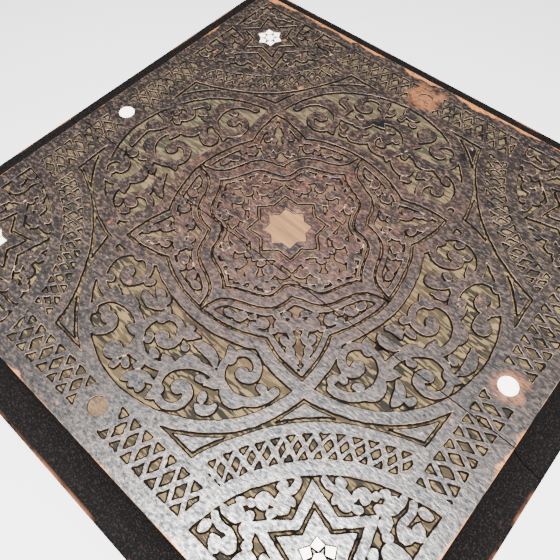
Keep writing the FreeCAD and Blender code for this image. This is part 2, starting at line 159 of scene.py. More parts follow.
class Relief:
    """A height field's outline: positive where the wood stands, negative where it is cut away."""

    def __init__(self):
        self.field = np.full((GRID, GRID), 0.1)

    def cut(self, region):
        self.field = np.minimum(self.field, -region)

    def add(self, shape):
        self.field = np.maximum(self.field, shape)

    def read(self, xs, ys):
        columns = np.clip(np.rint((xs + 1) / STEP).astype(int), 0, GRID - 1)
        rows = np.clip(np.rint((ys + 1) / STEP).astype(int), 0, GRID - 1)
        return self.field[rows, columns]

    def stroke(self, xs, ys, widths):
        """Leave a rounded strap standing along a path of points with half widths."""
        for i in range(len(xs) - 1):
            x0, y0, x1, y1, w0, w1 = xs[i], ys[i], xs[i + 1], ys[i + 1], widths[i], widths[i + 1]
            m = max(w0, w1) + 0.02
            part = window(min(x0, x1) - m, min(y0, y1) - m, max(x0, x1) + m, max(y0, y1) + m)
            px, py = X0[part], Y0[part]
            dx, dy = x1 - x0, y1 - y0
            u = np.clip(((px - x0) * dx + (py - y0) * dy) / max(dx * dx + dy * dy, 1e-12), 0, 1)
            shape = w0 + (w1 - w0) * u - np.hypot(px - x0 - u * dx, py - y0 - u * dy)
            self.field[part] = np.maximum(self.field[part], shape)


def trace(pieces, step=0.006):
    """Points of a stroke that starts at 0, 0 along +x, from (length, turn in degrees) pieces."""
    xs, ys, heading = [0.0], [0.0], 0.0
    for length, turn in pieces:
        count = max(2, int(round(length / step)))
        for _ in range(count):
            heading += math.radians(turn) / count
            xs.append(xs[-1] + length / count * math.cos(heading))
            ys.append(ys[-1] + length / count * math.sin(heading))
    return np.array(xs), np.array(ys)


def laid(pieces, x, y, heading):
    """A traced stroke moved to x, y and turned to heading; also returns its last heading."""
    xs, ys = trace(pieces)
    t = math.radians(heading)
    c, s = math.cos(t), math.sin(t)
    return x + xs * c - ys * s, y + xs * s + ys * c, heading + sum(turn for _, turn in pieces)


def spread(profile, count):
    """A short list of widths drawn out over all the points of a stroke."""
    return np.interp(np.linspace(0, 1, count), np.linspace(0, 1, len(profile)), profile)


def slope_away(relief, x, y, e=0.006):
    """The direction in which the ground falls away from a standing edge."""
    gx = relief.read(np.array(x + e), np.array(y)) - relief.read(np.array(x - e), np.array(y))
    gy = relief.read(np.array(x), np.array(y + e)) - relief.read(np.array(x), np.array(y - e))
    return math.atan2(-gy, -gx)


def fill(relief, region, motifs, width, gap, tries):
    """Set small motifs into free ground, each clear of its neighbours; rooted ones grow from an edge."""
    rows, cols = np.where(region > gap)
    for pieces, profile, rooted in motifs:
        xs, ys = trace(pieces)
        w = width * spread(profile, len(xs))
        travelled = np.hypot(np.diff(xs, prepend=0), np.diff(ys, prepend=0)).cumsum()
        for _ in range(tries):
            k = hand.randrange(len(rows))
            x, y = AXIS[cols[k]], AXIS[rows[k]]
            here = relief.field[rows[k], cols[k]]
            if rooted and not -0.012 < here < -0.001:
                continue
            if not rooted and here > -(w[0] + gap):
                continue
            scale = hand.uniform(0.8, 1.2)
            flip = hand.choice((-1, 1))
            heading = hand.uniform(0, 2 * math.pi)
            if rooted:
                heading = slope_away(relief, x, y) + hand.uniform(-0.9, 0.9)
            c, s = math.cos(heading) * scale, math.sin(heading) * scale
            px = x + xs * c - ys * flip * s
            py = y + xs * s + ys * flip * c
            room = relief.read(px, py) + w + gap
            if rooted:
                room = room[travelled * scale > w + gap + 0.012]
            if len(room) and room.max() <= 0 and max(np.abs(px).max(), np.abs(py).max()) < 0.98:
                relief.stroke(px, py, w)


EVEN = (1, 1)
LEAF = (.5, 1.3, 1.5, 1.2, .7, .2)
BUD = (1, 1, .95, .95, 1.1, 1.8)
# motifs: (length, turn) pieces, width profile, rooted on an edge
SMALL = [
    ([(0.06, 40)], (.3, 1.3, 1.2, .7, .2), True),
    ([(0.07, 15)], (1.2, 1, .8), False),
    ([(0.040, 0)], (.15, 1.45, .15), False),
    ([(0.035, 40)], (.3, 1.1, 1.0, .2), True),
    ([(0.026, 0)], (.15, 1.1, .15), False),
]
MEDIUM = [
    ([(0.07, 45), (0.05, 150), (0.035, 130)], (1, 1, 1, 1.1, 1.5), True),
    ([(0.10, 75)], (.5, 1.1, 1.4, 1.2, .3), True),
    ([(0.05, 20), (0.05, -110)], (1, 1, 1.1, .5), True),
    ([(0.05, 60), (0.07, 230)], (.6, 1, 1, 1.4), False),
    ([(0.11, 35)], (.8, 1, 1, .9), False),
    ([(0.08, 120)], (.5, 1.1, 1.2, .4), False),
    ([(0.050, 10)], (.2, 1.5, .2), False),
]
FOLIAGE = [
    ([(0.06, 60), (0.06, -80), (0.045, -200), (0.02, -160)], (1, 1, 1, 1, 1.3), True),
    ([(0.05, 40), (0.07, 260), (0.015, 160)], (1, 1, .9, 1.5), True),
    ([(0.05, 90), (0.05, -110)], (.6, 1.1, 1.4, 1, .5), True),
    ([(0.03, 10), (0.05, 190)], (.9, 1, 1.2), True),
    ([(0.03, 40), (0.05, 300)], (.8, .9, 1.4), False),
    ([(0.05, 60)], (.5, 1.5, 1.6, .9, .2), True),
    ([(0.04, 50)], (.4, 1.4, 1.1, .2), True),
    ([(0.03, 60), (0.03, -80)], (.5, 1.1, 1, .4), False),
    ([(0.026, 40)], (.5, 1.3, 1.0, .2), True),
    ([(0.004, 0)], (1.5, 1.5), False),
    ([(0.02, 40)], (.5, 1.1, .9, .2), False),
]


def cut_lattices(relief):
    """The pierced-looking bands: one along each side and one round each corner."""
    xs = X + waves(5, 0.03, 0.0012)
    ys = Y + waves(6, 0.03, 0.0012)
    for side in range(4):
        s, t = (xs, ys) if side % 2 else (ys, xs)
        t = t if side < 2 else -t
        s = s * (1 + 0.03 * math.sin(3 * side + 1))
        band = np.minimum.reduce([SIDE_BAND_HALF - np.abs(t - SIDE_BAND_AT), CORNER - 0.592,
                                  np.hypot(s, t - DISC_AT) - 0.072])
        relief.cut(np.minimum(band, -lattice(s, t - SIDE_BAND_AT, 0.051, 0.0485, 0.0070)))
    for cx, cy in CORNERS:
        r = np.hypot(xs - cx, ys - cy)
        turn = np.arctan2((ys - cy) * -cy, (xs - cx) * -cx)
        along = turn * ARC_PITCH_R + 0.35 * (r - ARC_PITCH_R) * cx * cy
        quadrant = np.minimum(X * cx, Y * cy)
        band = np.minimum.reduce([ARC_HALF - np.abs(r - ARC_R), INNER_SIDE - SQUARE, quadrant])
        relief.cut(np.minimum(band, -lattice(along, r - ARC_R, 0.046, 0.034, 0.0062)))


def cut_rosette(relief):
    """Four overlapping lobes round a central circle; returns the lobes' and the central field."""
    reach = [np.hypot(X - LOBE_AT * c, Y - LOBE_AT * s) for c, s in QUARTERS]
    outside = [LOBE_OUT - distance for distance in reach]
    inside = [LOBE_IN - distance for distance in reach]
    spandrel = np.minimum.reduce([INNER_SIDE + 0.002 - SQUARE, CORNER - 0.70, -np.max(outside, axis=0)])
    relief.cut(spandrel)
    relief.add(between(spandrel, 0.013, 0.031))
    middle = np.hypot(X, Y)
    pair_out = np.max([np.minimum(outside[i], outside[i - 1]) for i in range(4)], axis=0)
    pair_in = np.max([np.minimum(inside[i], inside[i - 1]) for i in range(4)], axis=0)
    border = np.maximum(MIDDLE_OUT - middle, pair_out)
    central = np.maximum(MIDDLE_IN - middle, pair_in)
    lobes = []
    for i in range(4):
        others = np.max([outside[j] for j in range(4) if j != i], axis=0)
        lobes.append(np.minimum.reduce([inside[i], -border, -others]))
        relief.cut(lobes[-1])
    return lobes, central


def ogee_cross():
    """Four cusps on the axes and four notches on the diagonals, joined by S curves."""
    cusp, notch, sway = Vector((0.450, 0.0)), Vector((0.205, 0.192)), 0.030
    run = notch - cusp
    across = Vector((-run.y, run.x)).normalized()
    half = []
    for k in range(17):
        u = k / 16
        point = cusp + run * u + across * sway * math.sin(2 * math.pi * u)
        half.append((point.x, point.y))
    arm = half + [(y, x) for x, y in reversed(half)][1:]
    return [(c * x - s * y, s * x + c * y) for c, s in QUARTERS for x, y in arm[:-1]]


def cut_centre(relief, central):
    """The cross, its star and the grooves beside them; returns the field left for foliage."""
    cross = polygon(ogee_cross(), X, Y)
    relief.cut(np.minimum(between(central, 0.0, 0.012), -cross))
    relief.cut(np.minimum(between(-cross, 0.0, 0.012), central))
    relief.cut(between(cross, 0.036, 0.047))
    groove = polygon(star_points(8, 0.150, 0.150 * OCTAGRAM), X, Y)
    strap = polygon(star_points(8, 0.190, 0.190 * OCTAGRAM), X, Y)
    relief.cut(between(groove, 0.0, 0.013))
    foliage = np.maximum(np.minimum(central - 0.030, -cross - 0.030), np.minimum(cross - 0.058, -strap))
    relief.cut(foliage)
    return foliage


def cut_medallions(relief):
    """A six-pointed star in each corner; returns the first corner's field, for foliage."""
    fields = []
    for cx, cy in CORNERS:
        r = np.hypot(X - cx, Y - cy)
        field = np.minimum.reduce([MEDALLION_R - r, MARGIN - 0.004 - SQUARE, np.minimum(X * cx, Y * cy)])
        x, y = FLOWER_AT * cx, FLOWER_AT * cy
        part = window(x - 0.3, y - 0.3, x + 0.3, y + 0.3)
        stars = []
        for reach in (0.127, 0.151, 0.209):
            points = star_points(6, reach, reach / math.sqrt(3), 45 * cx * cy, x, y)
            stars.append(np.full((GRID, GRID), -1.0))
            stars[-1][part] = polygon(points, X[part], Y[part])
        groove_in, groove_out, strap = stars
        relief.cut(np.minimum.reduce([groove_out, -groove_in, field]))
        fields.append(np.minimum(field, -strap))
        relief.cut(fields[-1])
    return fields[0]


def lobe_scroll(relief, quarter, flip, width=0.0150):
    """A waving stem along a lobe, with a curling branch and split leaves at every change of bend."""
    c, s = QUARTERS[quarter]

    def pen(u, v, heading, pieces, profile, w):
        us, vs, last = laid(pieces, u, v, heading)
        us_flipped = us * flip
        relief.stroke(vs * c - us_flipped * s, vs * s + us_flipped * c, w * spread(profile, len(us)))
        return us[-1], vs[-1], last

    def ahead(u, v, heading, pieces):
        us, vs, last = laid(pieces, u, v, heading)
        return us[-1], vs[-1], last

    u, v, heading = -.372, .497, 92
    for wave in range(5):
        sign = -(-1) ** wave
        turn = -17 + 95 * sign
        bend = math.radians(abs(turn) / 2)
        length = 0.165 * bend / math.sin(bend) * hand.uniform(0.96, 1.04)
        start = u, v, heading
        u, v, heading = pen(u, v, heading, [(length, turn)], EVEN, width)
        grow = hand.uniform(0.95, 1.12)
        curl = [(.138 * grow, sign * 105), (.112 * grow, sign * 130), (.050, sign * 120)]
        pen(u, v, heading, curl, BUD, width * 0.85)
        mu, mv, mh = ahead(*start, [(length * 0.55, turn * 0.55)])
        pen(mu, mv, mh - sign * 28, [(.085, sign * 75)], LEAF, width)
        pen(u, v, heading - sign * 35, [(.060, -sign * 50)], LEAF, width * 0.9)
        mu, mv, mh = ahead(u, v, heading, [(.085 * grow, sign * 85)])
        pen(mu, mv, mh - sign * 40, [(.060, -sign * 40)], LEAF, width * 0.85)


def mirrored(relief, region, wedge, settings):
    """Fill one part of a field with foliage and repeat it about the diagonals and the axes."""
    base = np.maximum(relief.field, -wedge)
    part = Relief()
    part.field = base.copy()
    for width, gap, tries in settings:
        fill(part, region, FOLIAGE, width, gap, tries)
    new = np.where(part.field > base + 1e-9, part.field, -0.1)
    new = np.maximum(new, new.T)
    for _ in range(4):
        relief.add(new)
        new = np.rot90(new)


def cut_recesses(relief):
    """Wells for the inlays, exact to the solids: four discs, four flowers and the middle star."""
    for c, s in QUARTERS:
        relief.cut(DISC_R - np.hypot(X0 - DISC_AT * c, Y0 - DISC_AT * s))
    relief.cut(polygon(star_points(8, STAR_R, STAR_R * OCTAGRAM), X0, Y0))
    relief.cut(NAIL_R - np.hypot(X0 - NAIL_X, Y0 - NAIL_Y))
    for node, turn in (("front_left", 45), ("front_right", 15), ("back_left", 15), ("back_right", 45)):
        low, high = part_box("flower_inlay_" + node)
        x, y = (low.x + high.x) / 2 / HALF, (low.y + high.y) / 2 / HALF
        part = window(x - 0.1, y - 0.1, x + 0.1, y + 0.1)
        shape = 0.018 - np.hypot(X0[part] - x, Y0[part] - y)
        for k in range(6):
            angle = math.radians(turn + 60 * k)
            c, s = math.cos(angle), math.sin(angle)
            kite = [(x + u * c - v * s, y + u * s + v * c)
                    for u, v in ((0.014, 0), (0.036, 0.0205), (0.0585, 0), (0.036, -0.0205))]
            shape = np.maximum(shape, polygon(kite, X0[part], Y0[part]))
        relief.field[part] = np.minimum(relief.field[part], -shape - 0.0015)


def carve():
    """The whole face as one field, in the order in which its parts are cut and filled."""
    relief = Relief()
    cut_lattices(relief)
    lobes, central = cut_rosette(relief)
    foliage = cut_centre(relief, central)
    corner = cut_medallions(relief)
    for quarter, flip in enumerate((1, -1, 1, -1)):
        plain = relief.field.copy()
        lobe_scroll(relief, quarter, flip)
        relief.field = np.maximum(plain, np.minimum(relief.field, lobes[quarter] + 0.02))
        fill(relief, lobes[quarter], MEDIUM, 0.0145, 0.0105, 500)
        fill(relief, lobes[quarter], SMALL, 0.0130, 0.0105, 400)
    eighth = np.minimum(Y0, X0 - Y0)
    mirrored(relief, np.minimum(foliage, eighth), eighth, ((0.0110, 0.0060, 700), (0.0095, 0.0050, 700)))
    half = X0 - Y0
    mirrored(relief, np.minimum(corner, half), half, ((0.0120, 0.0085, 500), (0.0100, 0.0075, 500)))
    relief.add(SQUARE - MARGIN)
    relief.field = soften(relief.field) + ragged()
    cut_recesses(relief)
    return relief.field


def ragged():
    """The small unevenness of a cut made by hand."""
    grain = np.random.default_rng(5).normal(0, 1, (GRID, GRID))
    for _ in range(6):
        grain = soften(grain)
    return np.clip(grain / grain.std(), -2, 2) * 0.0006


def soften(field):
    """Round off single-cell slivers, as a gouge does."""
    padded = np.pad(field, 1, mode="edge")
    cross = padded[:-2, 1:-1] + padded[2:, 1:-1] + padded[1:-1, :-2] + padded[1:-1, 2:]
    return (4 * field + cross) / 8


# ------------------------------------------------------------------ from field to mesh

# values of the field at the top of the shoulder, the wall's top and foot, and the end of the dark line
TOP_LEVEL, SHOULDER_LEVEL, FOOT_LEVEL, LINE_LEVEL = 0.0016, 0.0006, -0.0009, -0.0041


def crossings(above):
    """A point on every grid line, flat or tall, whose ends differ in sign; and the points' numbers
    at the four sides of every grid cell, or -1."""
    up = above > 0
    flat = up[:, :-1] != up[:, 1:]
    tall = up[:-1, :] != up[1:, :]
    ids_flat = np.full(flat.shape, -1)
    ids_tall = np.full(tall.shape, -1)
    row, column = np.nonzero(flat)
    ids_flat[row, column] = np.arange(len(row))
    part = above[row, column] / (above[row, column] - above[row, column + 1])
    on_flat = np.stack([AXIS[column] + part * STEP, AXIS[row]], 1)
    row, column = np.nonzero(tall)
    ids_tall[row, column] = np.arange(len(row)) + len(on_flat)
    part = above[row, column] / (above[row, column] - above[row + 1, column])
    on_tall = np.stack([AXIS[column], AXIS[row] + part * STEP], 1)
    points = np.concatenate([on_flat, on_tall])
    return points, np.stack([ids_flat[:-1, :], ids_flat[1:, :], ids_tall[:, :-1], ids_tall[:, 1:]])


def neighbours(above, sides, total):
    """For every crossing point, the two that follow it along the line, cell by cell."""
    count = (sides >= 0).sum(0)
    links = [[] for _ in range(total)]
    for r, c in zip(*np.nonzero(count)):
        bottom, top, left, right = sides[:, r, c]
        if count[r, c] == 2:
            a, b = [side for side in (bottom, top, left, right) if side >= 0]
            pairs = ((a, b),)
        elif (above[r, c] > 0) == (above[r:r + 2, c:c + 2].sum() > 0):
            pairs = ((bottom, right), (top, left))
        else:
            pairs = ((bottom, left), (top, right))
        for a, b in pairs:
            links[a].append(b)
            links[b].append(a)
    return links


def contour(field, level):
    """Closed lines where the field crosses a level, as arrays of points."""
    above = field - level
    above[above == 0] = 1e-9
    points, sides = crossings(above)
    links = neighbours(above, sides, len(points))
    used = np.zeros(len(points), bool)
    loops = []
    for first in range(len(points)):
        if used[first] or len(links[first]) != 2:
            continue
        loop, before, now = [first], -1, first
        used[first] = True
        while True:
            ahead = links[now][0] if links[now][0] != before else links[now][1]
            if ahead == first or used[ahead]:
                break
            used[ahead] = True
            loop.append(ahead)
            before, now = now, ahead
        loops.append(points[loop])
    return loops


def thin(loop, tolerance=0.00030, passes=4):
    """Drop points that lie on the line between their neighbours."""
    for _ in range(passes):
        if len(loop) < 8:
            break
        before, after = np.roll(loop, 1, 0), np.roll(loop, -1, 0)
        chord = after - before
        length = np.hypot(*chord.T) + 1e-12
        off = np.abs(chord[:, 0] * (loop - before)[:, 1] - chord[:, 1] * (loop - before)[:, 0]) / length
        drop = off < tolerance
        drop[::2] = False
        loop = loop[~drop]
    return loop


def height(value, xy):
    """Height over the uncut face, zero or less, in metres; the middle of the face is cut less deep."""
    x, y = np.abs(xy.T)
    depth = RELIEF * np.interp(np.hypot(x, y), [0.2, 0.5], [0.55, 1.0])
    corner = np.hypot(1 - x, 1 - y)
    outside_bands = np.minimum(INNER_SIDE - np.maximum(x, y), np.abs(corner - ARC_R) - 0.045)
    in_lattice = (outside_bands < 0) & (corner > 0.57)
    depth = np.where(in_lattice, np.minimum(depth, LATTICE_RELIEF), depth)
    drop = np.interp(value, [FOOT_LEVEL, SHOULDER_LEVEL, TOP_LEVEL], [1.0, 0.09, 0.0])
    return -drop * depth


def sample(field, x, y):
    """The field between grid points."""
    c = np.clip((np.asarray(x) + 1) / STEP, 0, GRID - 1.001)
    r = np.clip((np.asarray(y) + 1) / STEP, 0, GRID - 1.001)
    ci, ri = c.astype(int), r.astype(int)
    cf, rf = c - ci, r - ri
    low = field[ri, ci] * (1 - cf) + field[ri, ci + 1] * cf
    high = field[ri + 1, ci] * (1 - cf) + field[ri + 1, ci + 1] * cf
    return low * (1 - rf) + high * rf


EDGE_STEPS = 200        # points along each side of the face
# kinds of triangle; each is also the place of its material in PLANK_LOOKS
TOP, GROUND, WALL, FOOT, EDGE, BARE, WELL, COVE, SAWN = range(9)
CRACK = 0.0018          # half the open gap at the joint


def triangulate(field):
    """The whole face as triangles, split along the two lips of the plank joint."""
    points, edges = [], []

    def line(chain, closed):
        base = len(points)
        points.extend(Vector(p) for p in chain)
        count = len(chain)
        edges.extend((base + i, base + (i + 1) % count) for i in range(count if closed else count - 1))

    for level in (TOP_LEVEL, SHOULDER_LEVEL, FOOT_LEVEL, LINE_LEVEL):
        for loop in contour(field, level):
            loop = thin(loop)
            if len(loop) > 4:
                line(loop.tolist(), True)
    steps = np.linspace(-1, 1, EDGE_STEPS + 1)[:-1]
    rim = [(s, -1.0) for s in steps] + [(1.0, s) for s in steps]
    rim += [(-s, 1.0) for s in steps] + [(-1.0, -s) for s in steps]
    line(rim, True)
    joint = JOINT / HALF
    for lip in (joint - CRACK, joint + CRACK):
        line([(s, lip) for s in np.linspace(-1, 1, EDGE_STEPS + 1)], False)
    verts, _, faces, *_ = delaunay_2d_cdt(points, edges, [], 0, 1e-6)
    return np.array([(v.x, v.y) for v in verts]), np.array([f for f in faces if len(f) == 3])


def cove_profile():
    """Points down the moulded edge: (outwards, down) in metres from the arris."""
    width = OUTER - HALF
    rise = COVE_DROP - ARRIS_DROP
    radius = (width * width + rise * rise) / (2 * rise)
    fillet = 0.0004
    points = [(0.00025, -0.00012), (fillet, -0.0006), (fillet, -ARRIS_DROP + 0.0003)]
    for k in range(1, 13):
        x = fillet + (width - fillet - 0.0005) * k / 12
        points.append((x, -COVE_DROP + radius - math.sqrt(radius * radius - (width - x) ** 2)))
    points += [(width - 0.0001, -COVE_DROP - 0.0004), (width, -COVE_DROP - 0.0012),
               (width, UNDER - FACE + 0.0008), (width - 0.0008, UNDER - FACE)]
    return points


def rim_of(faces):
    """The points round the outside of a sheet of triangles, in order."""
    directed = set()
    for a, b, c in faces:
        directed.update(((a, b), (b, c), (c, a)))
    follow = {a: b for a, b in directed if (b, a) not in directed}
    first = next(iter(follow))
    rim = [first]
    while follow[rim[-1]] != first:
        rim.append(follow[rim[-1]])
    return rim


def pushed(point, out, down):
    """A rim point moved outwards by out, with the stretch that makes a mitre at the corners."""
    moved = []
    for v in point[:2]:
        if abs(abs(v) - HALF) < 1e-6:
            moved.append(math.copysign(HALF + out, v))
        else:
            moved.append(v + math.copysign(out * max(0.0, (abs(v) / HALF - 0.7) / 0.3), v))
    return (*moved, FACE + down)


class Plank:
    """A closed plank: carved face, cove on its free sides, joint face and underside."""

    def __init__(self, xy, z, faces, kinds):
        used = np.unique(faces)
        index = np.full(len(xy), -1)
        index[used] = np.arange(len(used))
        self.points = [(xy[i, 0] * HALF, xy[i, 1] * HALF, FACE + z[i]) for i in used]
        self.faces = [tuple(int(index[i]) for i in face) for face in faces]
        self.kinds = list(kinds)
        self.rim = rim_of(self.faces)
        lip = min(abs(xy[used, 1] - JOINT / HALF)) + 1e-5
        self.joined = [abs(self.points[i][1] / HALF - JOINT / HALF) < lip for i in self.rim]
        self.rows = [self.rim]
        self.moulding()
        self.close()

    def point(self, *place):
        self.points.append(place)
        return len(self.points) - 1

    def face(self, corners, kind):
        self.faces.append(tuple(corners))
        self.kinds.append(kind)

    def moulding(self):
        """Rows of points down the arris, the cove and the edge, left open along the joint."""
        for out, down in cove_profile():
            row = []
            for i, joined in zip(self.rim, self.joined):
                inner = joined and abs(abs(self.points[i][0]) - HALF) > 1e-6
                row.append(None if inner else self.point(*pushed(self.points[i], out, down)))
            self.rows.append(row)
        count = len(self.rim)
        for level, (upper, lower) in enumerate(zip(self.rows, self.rows[1:])):
            for k in range(count):
                n = (k + 1) % count
                if lower[k] is None or lower[n] is None or (self.joined[k] and self.joined[n]):
                    continue
                self.face((upper[n], upper[k], lower[k], lower[n]), COVE if level > 1 else EDGE)

    def close(self):
        """The dark joint face, with the ends of the moulding, and the underside."""
        count = len(self.rim)
        start = next(k for k in range(count) if self.joined[k] and not self.joined[k - 1])
        chain = [(start + k) % count for k in range(sum(self.joined))]
        bottom = []
        for k in chain:
            x, y, _ = self.points[self.rim[k]]
            last = self.rows[-1][k]
            bottom.append(self.point(x, y, UNDER) if last is None else last)
        for end, first in ((0, True), (len(chain) - 1, False)):
            cap = [row[chain[end]] for row in self.rows]
            x, y, _ = self.points[self.rim[chain[end]]]
            bottom[end] = self.point(x, y, UNDER)
            cap.append(bottom[end])
            self.face(reversed(cap) if first else cap, FOOT)
        for k in range(len(chain) - 1):
            a, b = self.rim[chain[k]], self.rim[chain[k + 1]]
            self.face((b, a, bottom[k], bottom[k + 1]), FOOT)
        outline = []
        for k in range(count):
            if k not in chain:
                outline.append(self.rows[-1][k])
            elif k == chain[0]:
                outline += [self.rows[-1][k], bottom[0]]
            elif k == chain[-1]:
                outline += [bottom[-1], self.rows[-1][k]]
            else:
                outline.append(bottom[chain.index(k)])
        self.face(reversed(outline), SAWN)


def build_plank(name, node, xy, z, faces, kinds):
    plank = Plank(xy, z, faces, kinds)
    mesh = bpy.data.meshes.new(name)
    mesh.from_pydata(plank.points, [], plank.faces)
    piece = bpy.data.objects.new(name, mesh)
    bpy.context.scene.collection.objects.link(piece)
    for material in PLANK_LOOKS:
        mesh.materials.append(material)
    mesh.polygons.foreach_set("material_index", plank.kinds)
    mesh.set_sharp_from_angle(angle=math.radians(50))
    mesh.polygons.foreach_set("use_smooth", [kind in (EDGE, WALL, COVE) for kind in plank.kinds])
    mesh.update()
    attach(piece, "root")
    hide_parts(node)


def kinds_of(value, faces, middle):
    """What each triangle is, from the field at its corners and at its middle."""
    x, y = middle
    low, high = value[faces].min(1), value[faces].max(1)
    kinds = np.full(len(faces), WALL)
    kinds[low > SHOULDER_LEVEL - 1e-4] = EDGE
    kinds[low > TOP_LEVEL - 1e-4] = TOP
    kinds[high < FOOT_LEVEL + 1e-4] = FOOT
    kinds[high < LINE_LEVEL + 1e-4] = GROUND
    floor = high < FOOT_LEVEL + 1e-4
    kinds[floor & (np.hypot(x, y) < STAR_R - 0.001)] = BARE
    well = np.minimum(np.hypot(x, np.abs(y) - DISC_AT), np.hypot(np.abs(x) - DISC_AT, y))
    kinds[floor & (well < DISC_R)] = WELL
    flower = np.hypot(np.abs(x) - FLOWER_AT, np.abs(y) - FLOWER_AT)
    nail = np.hypot(x - NAIL_X, y - NAIL_Y)
    kinds[floor & ((flower < 0.07) | (nail < 0.01))] = FOOT
    return kinds


def build_top():
    field = carve()
    xy, faces = triangulate(field)
    value = sample(field, xy[:, 0], xy[:, 1])
    z = height(value, xy)
    # every triangle is turned to run anticlockwise seen from above
    a, b, c = (xy[faces[:, k]] for k in range(3))
    area = (b[:, 0] - a[:, 0]) * (c[:, 1] - a[:, 1]) - (b[:, 1] - a[:, 1]) * (c[:, 0] - a[:, 0])
    faces[area < 0] = faces[area < 0][:, ::-1]
    middle = ((a + b + c) / 3).T
    kinds = kinds_of(value, faces, middle)
    joint = JOINT / HALF
    wide = middle[1] > joint + CRACK
    narrow = middle[1] < joint - CRACK
    build_plank("carved_plank_wide", "top_plank_wide", xy, z, faces[wide], kinds[wide])
    build_plank("carved_plank_narrow", "top_plank_narrow", xy, z, faces[narrow], kinds[narrow])


# ------------------------------------------------------------------ materials

class Look:
    """A material being put together, with short names for the nodes used here."""

    def __init__(self, name):
        self.material = bpy.data.materials.new(name)
        self.material.use_nodes = True
        self.tree = self.material.node_tree
        self.shader = self.tree.nodes["Principled BSDF"]
        self.place = self.node("ShaderNodeTexCoord").outputs["Object"]
        self.normal = None

    def node(self, kind, **settings):
        node = self.tree.nodes.new(kind)
        for key, value in settings.items():
            setattr(node, key, value)
        return node

    def put(self, socket, value):
        if isinstance(value, bpy.types.NodeSocket):
            self.tree.links.new(value, socket)
        elif isinstance(value, tuple) and socket.type == "RGBA":
            socket.default_value = (*value, 1)
        else:
            socket.default_value = value

    def noise(self, scale, detail=3.0, stretch=(1, 1, 1), distortion=0.0):
        """A cloudy value around 0.5; stretch sets how fast it changes along each axis."""
        move = self.node("ShaderNodeVectorMath", operation="MULTIPLY")
        self.put(move.inputs[0], self.place)
        self.put(move.inputs[1], stretch)
        noise = self.node("ShaderNodeTexNoise")
        self.put(noise.inputs["Vector"], move.outputs[0])
        self.put(noise.inputs["Scale"], scale)
        self.put(noise.inputs["Detail"], detail)
        self.put(noise.inputs["Distortion"], distortion)
        return noise.outputs["Fac"]

    def span(self, value, low, high, to_low=0.0, to_high=1.0):
        """Remap a value, held at both ends."""
        node = self.node("ShaderNodeMapRange")
        for socket, number in zip(node.inputs, (value, low, high, to_low, to_high)):
            self.put(socket, number)
        return node.outputs[0]

    def math(self, operation, a, b=0.0):
        node = self.node("ShaderNodeMath", operation=operation)
        self.put(node.inputs[0], a)
        self.put(node.inputs[1], b)
        return node.outputs[0]

    def blend(self, amount, a, b, kind="MIX"):
        node = self.node("ShaderNodeMix", data_type="RGBA", blend_type=kind)
        self.put(node.inputs["Factor"], amount)
        self.put(node.inputs[6], a)
        self.put(node.inputs[7], b)
        return node.outputs[2]

    def near(self, point, low, high, uneven=0.0):
        """One near a point of the object, fading to zero from low to high metres away."""
        node = self.node("ShaderNodeVectorMath", operation="DISTANCE")
        self.put(node.inputs[0], self.place)
        self.put(node.inputs[1], point)
        distance = node.outputs["Value"]
        if uneven:
            cloud = self.math("SUBTRACT", self.noise(90, 4), 0.5)
            distance = self.math("ADD", distance, self.math("MULTIPLY", cloud, uneven))
        return self.span(distance, low, high, 1.0, 0.0)

    def axes(self):
        node = self.node("ShaderNodeSeparateXYZ")
        self.put(node.inputs[0], self.place)
        return node.outputs[0], node.outputs[1], node.outputs[2]

    def outward(self):
        """Distance from the middle measured square, as the sides of the top are."""
        x, y, _ = self.axes()
        return self.math("MAXIMUM", self.math("ABSOLUTE", x), self.math("ABSOLUTE", y))

    def bump(self, height, distance, strength=1.0):
        node = self.node("ShaderNodeBump")
        self.put(node.inputs["Height"], height)
        self.put(node.inputs["Distance"], distance)
        self.put(node.inputs["Strength"], strength)
        if self.normal:
            self.put(node.inputs["Normal"], self.normal)
        self.normal = node.outputs[0]

    def done(self, color, rough, coat=0.0, specular=0.5):
        self.put(self.shader.inputs["Base Color"], color)
        self.put(self.shader.inputs["Roughness"], rough)
        self.put(self.shader.inputs["Coat Weight"], coat)
        self.put(self.shader.inputs["Coat Roughness"], 0.3)
        self.put(self.shader.inputs["Specular IOR Level"], specular)
        if self.normal:
            self.put(self.shader.inputs["Normal"], self.normal)
        return self.material


def stain_and_sheen(look):
    """Colour of the old dark staining, near black at the sides of the top; the red brown in its middle is
    partly the wood's colour and partly a painted sheen.
    """
    middle = look.near((0, 0, FACE), 0.03, 0.15, uneven=0.08)
    cloud = look.span(look.noise(35, 4), 0.35, 0.65)
    color = look.blend(cloud, (0.005, 0.0038, 0.0034), (0.015, 0.0095, 0.0072))
    # red-brown tint over the middle of the top: partly the wood's colour, partly a painted sheen
    color = look.blend(look.math("MULTIPLY", middle, 0.85), color, (0.034, 0.0112, 0.0085))
    # worn red blotches in the middle of the top, partly a painted highlight
    rust_wear_and_highlight = look.span(look.noise(150, 5, (0.6, 1.2, 1)), 0.54, 0.66, 0.0, 0.6)
    color = look.blend(look.math("MULTIPLY", middle, rust_wear_and_highlight), color, (0.130, 0.050, 0.026))
    patch = look.span(look.noise(105, 5, (0.7, 1.1, 1)), 0.48, 0.60, 0.0, 0.85)
    color = look.blend(patch, color, (0.003, 0.0022, 0.0026))
    streak = look.span(look.noise(1, 3, (60, 800, 800)), 0.42, 0.62)
    return look.blend(look.math("MULTIPLY", streak, 0.5), color, (0.010, 0.007, 0.006))


